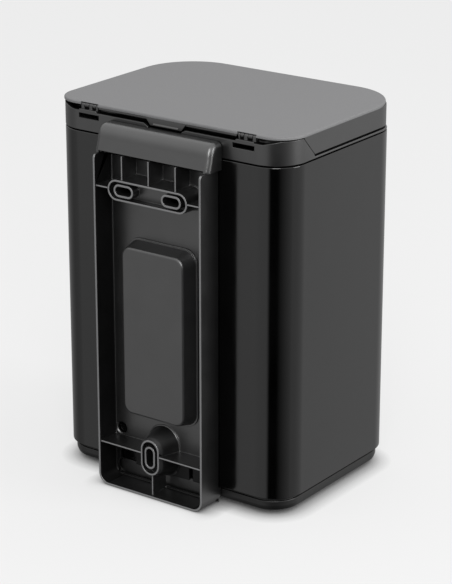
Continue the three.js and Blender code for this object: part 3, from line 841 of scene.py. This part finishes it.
# ---------------------------------------------------------------- bucket
def bucket():
    tub = Box("inner_bucket")
    wall, taper, inset, corner = 1.8, 6, 10.5, 10
    rim_inset, rim_low = 7.5, tub.z1 - 1.8
    lean = taper / (tub.z1 - tub.z0)

    def slope(z):
        return inset + taper - lean * (z - tub.z0)

    outside = softened(
        [
            (slope(tub.z0) + 10, tub.z0),
            (slope(tub.z0), tub.z0),
            (slope(rim_low), rim_low),
            (rim_inset, rim_low),
            (rim_inset, tub.z1),
            (slope(tub.z1) + wall, tub.z1),
            (slope(tub.z0 + 2) + wall, tub.z0 + 2),
            (slope(tub.z0) + wall + 10, tub.z0 + 2),
        ],
        [0, 3, 0.4, 0.5, 0.5, 0.6, 3, 0],
        closed=False,
    )

    def outline(spread):
        x, y = SLEEVE.x1 - spread, SLEEVE.y1 - spread
        rounding = max(corner + inset - min(spread, inset + taper) + taper / 2, 4)
        return rounded_rect(-x, x, -y, y, rounding, steps=12)

    shape = swept(outline, outside)
    grip_z = EDGE - 23
    shape = cut(shape, prism(stadium(32, 9), "x", SLEEVE.x0, SLEEVE.x1, (0, grip_z)))
    piece("lift_out_bucket", edit(shape, weld), "bin", "inner_bucket", BUCKET_PLASTIC)


# ---------------------------------------------------------------- hanging hood
HOOD_SKIN = 2.2
HOOD_KNEE = EDGE - 6


def hood_profile(inset, root, bottom):
    """The hood's side view as (y, z), from the lower edge over the back to the top."""
    back, top = HOOD.y1 - inset, HOOD.z1 - inset
    shoulder = (HOOD.y1 - 2.4 - inset, EDGE + 2.8 - inset / 2)
    bend = (HOOD.y1 - 4.2 - inset, top)
    crest = (HOOD.y1 - 12.4 - inset / 2, top)
    points = [(root, bottom), (back, bottom), (back, HOOD_KNEE), shoulder]
    for step in range(1, 15):
        t = step / 14
        points.append(
            tuple((1 - t) ** 2 * shoulder[i] + 2 * t * (1 - t) * bend[i] + t * t * crest[i] for i in (0, 1))
        )
    points.append((root, top))
    return points


def rounded_ends(half, radius, root, bottom, inset=0):
    """A hood shape whose ends are rounded over with a radius."""
    rings = []
    for side in (-1, 1):
        arc = []
        for step in range(9):
            turn = math.radians(90 * step / 8)
            x = side * (half - radius + radius * math.sin(turn))
            arc.append((x, inset + radius - radius * math.cos(turn)))
        rings += arc if side > 0 else reversed(arc)
    return skin([[(x, y, z) for y, z in hood_profile(spread, root, bottom)] for x, spread in rings])


def hook_hood():
    outside = rounded_ends(HOOD.x1, 4.6, HOOD.y0, HOOD.z0)
    inner_root = HOOD.y0 + 2.7
    inside = rounded_ends(HOOD.x1 - HOOD_SKIN, 2.6, inner_root, HOOD.z0 - BEYOND, HOOD_SKIN)
    half = HOOD.x1 - HOOD_SKIN - 2.4
    relief = block(-half, half, 92, 100, HOOD.z0 - BEYOND, HOOD_KNEE)
    holes = [rod("y", 1.9, HOOD.y0 - BEYOND, HOOD.y0 + 4, (x, HOOK_SCREW["z"]), 16) for x in (-40, 40)]
    shape = eased(cut(outside, inside, relief, *holes), 0.35)
    piece("hanging_hood", shape, "bin", "hook_hood", HOOD_PLASTIC)
    for side_name, side in (("right", -1), ("left", 1)):
        node = f"hook_screw_{side_name}"
        place = Box(node)
        at = (side * HOOK_SCREW["x"], HOOK_SCREW["z"])
        head = (place.y0, SLEEVE.y1 - COLLAR_WALL - 0.3)
        screw(f"steel_{node}", node, "bin", "y", at, head, (head[1], place.y1), 3.2, 1.6)


# ---------------------------------------------------------------- wall bracket
WALL = 1.8
RIB = 1.3
SHELF_Z = 36.8
UPPER_BOSS = {"z": 252.7, "half_x": 38.6, "half_z": 8.4, "face": 103.2, "draft": 0.04, "flare": 0.8}
LOWER_BOSS = {"z": 34.7, "half_x": 9, "half_z": 15, "face": 103.5, "draft": 0.3, "flare": 0.9}
SLOT = {"half": 7.8, "radius": 3.4, "tube": 1.8}
BOSS_WALL = 1.6
BOSS_FLOOR = (93.4, 95)
WINDOWS = {"z0": 14, "z1": 31, "x": ((30, 45.7), (-45.7, -35.7), (-27.7, -24.3))}
FOOT_OPENING = {"half_x": 48, "z0": 3.2, "z1": 14.2}
RIB_X = (-26, 0, 26)
ROUND_HOLE = {"x": 44.2, "z": 43.2, "radius": 4.6, "mouth": 5.6}
HOOK = {"half_x": 50, "y0": 88.2, "y1": 90.4, "rib_y": 93, "cheek": 2.2}


def channel_outline(inset, rise=0):
    half, corner = BRACKET.x1 - inset, 9.5 - inset
    return rounded_rect(-half, half, inset, CHANNEL_TOP + rise, corner, 0.02, steps=14)


def boss_outline(boss):
    return lambda inset: stadium(boss["half_x"] - inset, boss["half_z"] - inset, 14)


def boss(spec, slots):
    """A hollow boss whose foot flares out onto the plate, with slotted tubes on its floor."""
    face, draft, flare = spec["face"], spec["draft"], spec["flare"]
    outline = boss_outline(spec)
    at = (0, spec["z"])
    foot = PLATE_BACK - 0.2

    def lean(y, inset=0):
        return inset - draft * (face - y)

    pad = PLATE_BACK + 0.5
    outside = [(lean(foot) - flare, foot), (lean(foot) - flare, pad)]
    for step in range(9):
        turn = math.radians(90 * step / 8)
        y = pad + flare * (1 - math.cos(turn))
        outside.append((lean(y) - flare * (1 - math.sin(turn)), y))
    outside.append((0, face))
    well = [(lean(BOSS_FLOOR[1], BOSS_WALL), BOSS_FLOOR[1]), (BOSS_WALL, face), (BOSS_WALL, face + BEYOND)]
    behind = [
        (lean(PLATE_FRONT, BOSS_WALL), PLATE_FRONT - BEYOND),
        (lean(BOSS_FLOOR[0], BOSS_WALL), BOSS_FLOOR[0]),
    ]
    shape = cut(
        swept(outline, outside, "y", at=at),
        swept(outline, well, "y", at=at),
        swept(outline, behind, "y", at=at),
    )
    for x, upright in slots:
        long, short = SLOT["half"], SLOT["radius"]
        sizes = (short, long) if upright else (long, short)
        centre = (x, spec["z"])
        ring = stadium(sizes[0] + SLOT["tube"], sizes[1] + SLOT["tube"], 12)
        tube = prism(ring, "y", BOSS_FLOOR[1] - 0.1, face, centre)
        hole = prism(stadium(*sizes, 12), "y", PLATE_FRONT - BEYOND, face + BEYOND, centre)
        shape = cut(join(shape, tube), hole)
    return shape


def boss_room(spec):
    """What stands inside a boss is cleared with this before the boss goes in."""
    inset = 0.8
    draft = spec["draft"]
    profile = [(inset - draft * (spec["face"] - y), y) for y in (PLATE_FRONT - BEYOND, BRACKET.y1 + BEYOND)]
    return swept(boss_outline(spec), profile, "y", at=(0, spec["z"]))


def wall_bracket():
    half, low = BRACKET.x1, PLATE_BACK - 0.2
    cove = 1.3  # radius where the side walls meet the plate
    cavity = [(WALL + cove, PLATE_BACK)]
    for step in range(1, 7):
        turn = math.radians(90 * step / 6)
        cavity.append((WALL + cove * (1 - math.sin(turn)), PLATE_BACK + cove * (1 - math.cos(turn))))
    cavity.append((WALL, BRACKET.y1 + BEYOND))
    tray = cut(
        swept(channel_outline, [(0, PLATE_FRONT), (0, BRACKET.y1)], "y"),
        swept(lambda inset: channel_outline(inset, 5), cavity, "y"),
        block(
            -FOOT_OPENING["half_x"],
            FOOT_OPENING["half_x"],
            PLATE_FRONT - BEYOND,
            PLATE_BACK + BEYOND,
            FOOT_OPENING["z0"],
            FOOT_OPENING["z1"],
        ),
    )
    # The side walls stop just short of the hood, and their top corners are rounded.
    wall_top = CHANNEL_TOP - 0.4
    round_top = softened(
        [(70, -20), (BRACKET.y1, -20), (BRACKET.y1, wall_top), (70, wall_top)],
        [0, 0, 3, 0],
    )
    tray = common(tray, prism(round_top, "x", -half - BEYOND, half + BEYOND))

    # Below the sleeve the channel reaches forward to the base.
    toe_top = SLEEVE.z0 - 1.2
    toe = cut(
        swept(channel_outline, [(0, BRACKET.y0), (0, PLATE_FRONT + 0.1)], "y"),
        swept(channel_outline, [(WALL, BRACKET.y0 - BEYOND), (WALL, PLATE_FRONT + BEYOND)], "y"),
        block(-half - BEYOND, half + BEYOND, 70, 90, toe_top, CHANNEL_TOP + 10),
    )

    inner = half - WALL + 0.2
    cap = CHANNEL_TOP - 1.2
    web = UPPER_BOSS["z"] - 0.2
    ribs = [
        block(-inner, inner, low, HOOK["y1"], cap - 0.9, cap),
        block(-inner, inner, low, 103, SHELF_Z - RIB / 2, SHELF_Z + RIB / 2),
        block(-inner, inner, low, 102.8, web, web + RIB),
        block(-RIB / 2, RIB / 2, low, 100.4, 1, LOWER_BOSS["z"] - 13),
    ]
    # A thin wall closes the channel's foot below the base; the CAD doesn't have it.
    ribs.append(block(-inner, inner, BRACKET.y0, BRACKET.y0 + 1.2, 1, toe_top))
    for x in RIB_X:
        ribs.append(block(x - RIB / 2, x + RIB / 2, low, 101.3, UPPER_BOSS["z"] + 6.5, cap - 0.5))
        ribs.append(block(x - RIB / 2, x + RIB / 2, 90, 101.3, cap - 3, HOOD_KNEE - 0.5))
    reach = half + BEYOND
    hood_room = block(-reach, reach, PLATE_FRONT - BEYOND, 86.2, CHANNEL_TOP - 0.7, CHANNEL_TOP + 1)
    shape = cut(join(tray, toe, *ribs), hood_room)

    # The hook plate stands inside the hood and carries the bin.
    hook_top = HOOD.z1 - 5
    rib_top = HOOD.z1 - 12
    root, behind_hook = cap - 0.2, HOOK["y1"] - 0.2
    side_view = [(HOOK["y0"], root), (HOOK["y1"], root), (HOOK["y1"], hook_top), (HOOK["y0"], hook_top)]
    hook = [prism(softened(side_view, [0, 0, 0.9, 0.9]), "x", -HOOK["half_x"], HOOK["half_x"])]
    for x in (-HOOK["half_x"], HOOK["half_x"] - HOOK["cheek"]):
        hook.append(block(x, x + HOOK["cheek"], behind_hook, HOOK["rib_y"], root, rib_top))
    for x in RIB_X:
        hook.append(block(x - RIB / 2, x + RIB / 2, behind_hook, HOOK["rib_y"], root, rib_top))
    shape = join(shape, *hook)

    openings = [boss_room(UPPER_BOSS), boss_room(LOWER_BOSS)]
    for x0, x1 in WINDOWS["x"]:
        through = (PLATE_FRONT - BEYOND, PLATE_BACK + BEYOND)
        openings.append(block(x0, x1, *through, WINDOWS["z0"], WINDOWS["z1"]))
    # The CAD doesn't have this hole.
    radius, mouth = ROUND_HOLE["radius"], ROUND_HOLE["mouth"]
    hole = [
        (-mouth, PLATE_BACK + BEYOND),
        (-mouth, PLATE_BACK),
        (-radius, PLATE_BACK - 1),
        (-radius, PLATE_FRONT - BEYOND),
    ]
    at = (ROUND_HOLE["x"], ROUND_HOLE["z"])
    openings.append(swept(lambda inset: circle(-inset), hole, "y", at=at))
    shape = cut(shape, *openings)
    shape = join(
        shape,
        boss(UPPER_BOSS, [(-23.1, False), (23.1, False)]),
        boss(LOWER_BOSS, [(0, True)]),
    )
    shape = eased(shape, 0.42, 3)
    channel = piece("bracket_channel", shape, "bracket", "wall_bracket", BRACKET_PLASTIC)
    # A duller copy of the plastic under the shelf and inside the side walls paints shade into these recesses.
    # A duller plastic under the shelf and inside the side walls, to come nearer the photo's tones.
    channel.data.materials.append(BRACKET_PAINTED_SHADE)
    for face in channel.data.polygons:
        x, z = face.center.x / MM, face.center.z / MM
        y = (face.center.y - CENTRE_Y) / MM
        within = abs(x) < half - WALL + 0.15 and y < BRACKET.y1 - 0.6
        under_shelf = z < SHELF_Z and z > 1
        on_wall = abs(x) > half - WALL - 0.5 and y > PLATE_BACK
        in_boss = abs(x) < LOWER_BOSS["half_x"] + 3
        if within and ((under_shelf and not in_boss) or on_wall):
            face.material_index = 1


# ---------------------------------------------------------------- block on the bracket
def bracket_spacer():
    half_x, half_z, corner = 29.8, 70, 8
    centre_z = (SPACER.z0 + SPACER.z1) / 2
    draft, wall, edge = 0.24, 2, 2.4
    foot, face = SPACER.y0, SPACER.y1
    rim = foot + 1

    def outline(inset):
        spread = max(corner - inset, 1.5)
        x, z = half_x - inset, half_z - inset
        return rounded_rect(-x, x, -z, z, spread, steps=12)

    def lean(y, inset=0):
        return inset - draft * (face - y)

    flange = -(face - foot) * draft - 1.2
    outside = softened(
        [
            (flange, foot),
            (flange, rim),
            (lean(rim), rim),
            (0, face),
            (12, face),
        ],
        [0, 0.3, 0.2, edge, 0],
        steps=7,
        closed=False,
    )
    inside = softened(
        [(lean(foot, wall), foot - BEYOND), (wall, face - wall), (12, face - wall)],
        [0, 1.5, 0],
        closed=False,
    )
    at = (0, centre_z)
    shape = cut(swept(outline, outside, "y", at=at), swept(outline, inside, "y", at=at))
    piece("spacer_block", edit(shape, weld), "bracket", "bracket_spacer", SPACER_PLASTIC)


body_sleeve()
base()
feet()
collar()
hinge_pins()
lid_cover()
lid_frame()
lid_liner()
lid_fittings()
bucket()
hook_hood()
wall_bracket()
bracket_spacer()


# ---------------------------------------------------------------- studio
BACKDROP = 0.863  # the pale grey of the floor and of what is seen past it
CAMERA = {"azimuth": 216.032, "elevation": 19.493, "distance": 1.7955, "lens": 135.6}
AIM_OFFSET = Vector((-0.0032, -0.0023, -0.0076))


def camera():
    """An unshifted camera, pitched a little down at the bin's back."""
    low, high = cad_bounds
    aim = (Vector(low) + Vector(high)) / 2 + AIM_OFFSET
    turn, rise = math.radians(CAMERA["azimuth"]), math.radians(CAMERA["elevation"])
    back = Vector((math.sin(turn) * math.cos(rise), -math.cos(turn) * math.cos(rise), math.sin(rise)))
    data = bpy.data.cameras.new("camera")
    data.lens = CAMERA["lens"]
    eye = bpy.data.objects.new("camera", data)
    eye.location = aim + back * CAMERA["distance"]
    eye.rotation_mode = "QUATERNION"
    eye.rotation_quaternion = (-back).to_track_quat("-Z", "Y")
    bpy.context.scene.collection.objects.link(eye)
    bpy.context.scene.camera = eye


def floor():
    """A self-lit pale floor. The shade round the bin's foot is ambient occlusion, not a cast shadow."""
    bpy.ops.mesh.primitive_circle_add(vertices=96, radius=30, fill_type="NGON", location=(0, 0, -0.0002))
    ground = bpy.context.object
    ground.name = "floor"
    material = bpy.data.materials.new("floor")
    material.use_nodes = True
    material.cycles.emission_sampling = "NONE"
    tree = material.node_tree
    shader = tree.nodes["Principled BSDF"]
    shader.inputs["Base Color"].default_value = (0.12, 0.12, 0.12, 1)
    shader.inputs["Roughness"].default_value = 1.0
    shader.inputs["Specular IOR Level"].default_value = 0.0
    near = tree.nodes.new("ShaderNodeAmbientOcclusion")
    near.inputs["Distance"].default_value = 0.016
    near.samples = 12
    level = tree.nodes.new("ShaderNodeMath")
    level.operation = "POWER"
    level.inputs[1].default_value = 1.6
    tree.links.new(near.outputs["AO"], level.inputs[0])
    glow = tree.nodes.new("ShaderNodeMath")
    glow.operation = "MULTIPLY"
    glow.inputs[1].default_value = 0.66
    tree.links.new(level.outputs[0], glow.inputs[0])
    tree.links.new(glow.outputs[0], shader.inputs["Emission Strength"])
    shader.inputs["Emission Color"].default_value = (1, 1, 1, 1)
    ground.data.materials.append(material)
    ground.visible_glossy = False


def surroundings():
    """Pale light whose level changes round the horizon, with a dark gap that the gloss mirrors."""
    world = bpy.data.worlds.new("studio")
    bpy.context.scene.world = world
    world.use_nodes = True
    tree = world.node_tree
    nodes, links = tree.nodes, tree.links
    place = nodes.new("ShaderNodeTexCoord")
    split = nodes.new("ShaderNodeSeparateXYZ")
    links.new(place.outputs["Generated"], split.inputs[0])
    turn = nodes.new("ShaderNodeMath")
    turn.operation = "ARCTAN2"
    links.new(split.outputs["Y"], turn.inputs[0])
    links.new(split.outputs["X"], turn.inputs[1])
    # The level round the horizon, by azimuth in turns from -X through -Y, +X and +Y.
    share = nodes.new("ShaderNodeMapRange")
    share.inputs["From Min"].default_value = -math.pi
    share.inputs["From Max"].default_value = math.pi
    links.new(turn.outputs[0], share.inputs["Value"])
    ramp = nodes.new("ShaderNodeValToRGB")
    levels = [
        (-160, 0.8),
        (-125, 0.92),
        (-60, 0.42),
        (20, 0.4),
        (40, 0.62),
        (54, 0.94),
        (98, 0.95),
        (107, 0.0),
        (132, 0.0),
        (150, 0.26),
        (178, 0.66),
    ]
    stops = ramp.color_ramp.elements
    for index, (degrees, level) in enumerate(levels):
        place_on_ramp = (degrees + 180) / 360
        stop = stops[index] if index < 2 else stops.new(place_on_ramp)
        stop.position = place_on_ramp
        stop.color = (level, level, level, 1)
    links.new(share.outputs["Result"], ramp.inputs["Fac"])
    # Below the horizon it darkens towards the ground under the bin.
    drop = nodes.new("ShaderNodeMath")
    drop.inputs[1].default_value = 1.0
    links.new(split.outputs["Z"], drop.inputs[0])
    slope = nodes.new("ShaderNodeValToRGB")
    steps = slope.color_ramp.elements
    for index, (height_on_ramp, level) in enumerate([(0.1, 0.2), (0.4, 0.5), (0.55, 0.78), (0.8, 1.0)]):
        stop = steps[index] if index < 2 else steps.new(height_on_ramp)
        stop.position = height_on_ramp
        stop.color = (level, level, level, 1)
    links.new(drop.outputs[0], slope.inputs["Fac"])
    shaded = nodes.new("ShaderNodeMix")
    shaded.data_type = "RGBA"
    shaded.blend_type = "MULTIPLY"
    shaded.inputs["Factor"].default_value = 1.0
    links.new(ramp.outputs["Color"], shaded.inputs["A"])
    links.new(slope.outputs["Color"], shaded.inputs["B"])
    # Overhead it is brighter and has no gap.
    height = nodes.new("ShaderNodeMapRange")
    height.interpolation_type = "SMOOTHSTEP"
    height.inputs["From Min"].default_value = 0.1
    height.inputs["From Max"].default_value = 0.5
    links.new(split.outputs["Z"], height.inputs["Value"])
    above = nodes.new("ShaderNodeMix")
    above.data_type = "RGBA"
    above.inputs["B"].default_value = (1.45, 1.45, 1.45, 1)
    links.new(height.outputs["Result"], above.inputs["Factor"])
    links.new(shaded.outputs["Result"], above.inputs["A"])
    seen = nodes.new("ShaderNodeLightPath")
    final = nodes.new("ShaderNodeMix")
    final.data_type = "RGBA"
    final.inputs["B"].default_value = (BACKDROP, BACKDROP, BACKDROP, 1)
    links.new(seen.outputs["Is Camera Ray"], final.inputs["Factor"])
    links.new(above.outputs["Result"], final.inputs["A"])
    links.new(final.outputs["Result"], nodes["Background"].inputs["Color"])


def softbox(name, place, aim, width, height, power, mirrored=False):
    data = bpy.data.lights.new(name, "AREA")
    data.shape = "RECTANGLE"
    data.size, data.size_y = width, height
    data.energy = power
    light = bpy.data.objects.new(name, data)
    light.location = place
    light.rotation_mode = "QUATERNION"
    light.rotation_quaternion = (Vector(place) - Vector(aim)).to_track_quat("Z", "Y")
    light.visible_glossy = mirrored
    bpy.context.scene.collection.objects.link(light)


camera()
floor()
surroundings()
softbox("overhead", (-0.5, 0.5, 1.6), (0, 0, 0.15), 1.2, 1.2, 4)
softbox("beside", (-1.93, -0.52, 0.75), (0, 0, 0.15), 0.8, 1.2, 30, True)
softbox("behind_camera", (-1.3, 1.75, 1.55), (0, 0, 0.15), 0.9, 1.7, 50, True)
bpy.context.scene.view_settings.view_transform = "Standard"
